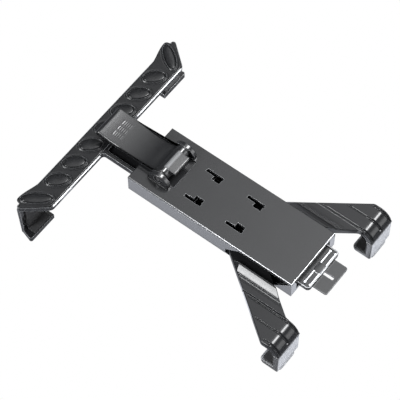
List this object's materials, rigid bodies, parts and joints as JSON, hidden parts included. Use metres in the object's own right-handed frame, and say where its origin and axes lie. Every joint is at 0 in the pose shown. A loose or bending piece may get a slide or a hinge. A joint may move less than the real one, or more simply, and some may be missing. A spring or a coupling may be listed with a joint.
{
  "type": "headrest tablet mount",
  "caption": "Extending tablet holder for a car headrest: sliding T-bar and splayed sliding legs with rubber-lined claws, a keyhole back plate and a folding stand.",
  "frame": {"origin": "under the middle of the whole mount, on the surface it rests on", "axes": "+X across the housing, +Y from the legs to the T-bar, +Z from the tablet side to the back cover"},
  "size_m": [0.1758, 0.2108, 0.0534],
  "materials": {
    "housing_gloss": "moulded gloss",
    "cover_satin": "moulded satin",
    "screw_steel": "zinc plated",
    "foam": "closed-cell foam",
    "pin_steel": "bright",
    "spring_steel": "rolled strip",
    "stand_satin": "moulded satin",
    "washer_plastic": "moulded",
    "bar_gloss": "moulded gloss",
    "grip_rubber": "soft-touch",
    "lining_rubber": "matt",
    "slider_plastic": "satin",
    "leg_gloss": "moulded gloss",
    "claw_grey": "satin"
  },
  "bodies": {
    "housing": {"front_shell": "housing_gloss", "back_cover": "cover_satin", "cover_screws": "screw_steel", "front_pad": "foam", "hinge_pin": "pin_steel", "tee_spring": "spring_steel", "slider_spring": "spring_steel", "spring_screws": "screw_steel"},
    "stand": {"kick_stand": "stand_satin", "stand_washers": "washer_plastic"},
    "tee": {"tee_bar": "bar_gloss", "tee_grip": "grip_rubber", "tee_left_lining": "lining_rubber", "tee_right_lining": "lining_rubber"},
    "slider": {"slider_plate": "slider_plastic", "slider_handle": "slider_plastic", "slider_rivets": "pin_steel"},
    "left_leg_set": {"left_leg": "leg_gloss", "left_drive_pin": "pin_steel", "left_claw": "claw_grey", "left_claw_screw": "screw_steel", "left_claw_lining": "lining_rubber"},
    "right_leg_set": {"right_leg": "leg_gloss", "right_drive_pin": "pin_steel", "right_claw": "claw_grey", "right_claw_screw": "screw_steel", "right_claw_lining": "lining_rubber"}
  },
  "joints": [
    {"name": "stand_hinge", "type": "hinge", "parent": "housing", "child": "stand", "pos_m": [0, 0.03415, 0.048], "axis": [1, 0, 0], "range_deg": [0, 48]},
    {"name": "tee_slide", "type": "slide", "parent": "housing", "child": "tee", "axis": [0, 1, 0], "range_m": [-0.022, 0.018]},
    {"name": "slider_slide", "type": "slide", "parent": "housing", "child": "slider", "axis": [0, 1, 0], "range_m": [0, 0.014]},
    {"name": "left_leg_slide", "type": "slide", "parent": "housing", "child": "left_leg_set", "axis": [0.5869, 0.8096, 0], "range_m": [0, 0.0174]},
    {"name": "right_leg_slide", "type": "slide", "parent": "housing", "child": "right_leg_set", "axis": [-0.5869, 0.8096, 0], "range_m": [0, 0.0174]}
  ],
  "couplings": [
    {"joint": "left_leg_slide", "follows": "slider_slide", "ratio": 1.2351},
    {"joint": "right_leg_slide", "follows": "slider_slide", "ratio": 1.2351}
  ]
}
